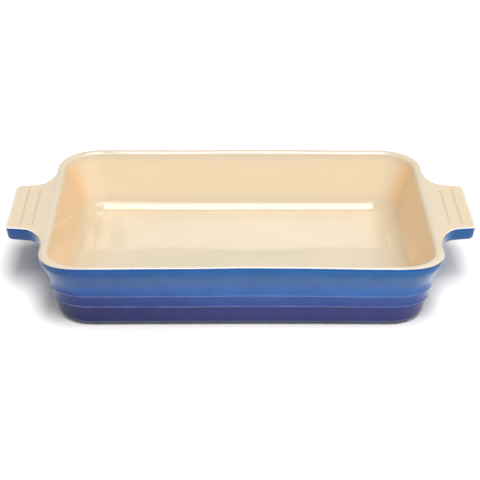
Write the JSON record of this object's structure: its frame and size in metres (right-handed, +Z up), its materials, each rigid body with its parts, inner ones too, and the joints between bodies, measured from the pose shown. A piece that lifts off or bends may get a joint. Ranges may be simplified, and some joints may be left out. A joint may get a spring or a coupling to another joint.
{
  "type": "rectangular baking dish",
  "caption": "Wide rectangular stoneware baking dish with a flared rim, a tab handle at each end, a cream glazed well and a blue glazed outside with two stepped bands.",
  "frame": {"origin": "under the middle of the dish, on the plane that its foot stands on", "axes": "+X along the long side, from the left handle to the right one; +Y towards the back long side; +Z up out of the well"},
  "size_m": [0.407, 0.25, 0.062],
  "materials": {
    "clay": "matte",
    "cream_glaze": "gloss",
    "blue_glaze": "gloss"
  },
  "bodies": {
    "root": {"clay_body": "clay", "handle_left": "clay", "handle_right": "clay", "foot_ring": "clay", "cream_glaze": "cream_glaze", "blue_glaze": "blue_glaze", "base_glaze": "blue_glaze"}
  },
  "joints": []
}
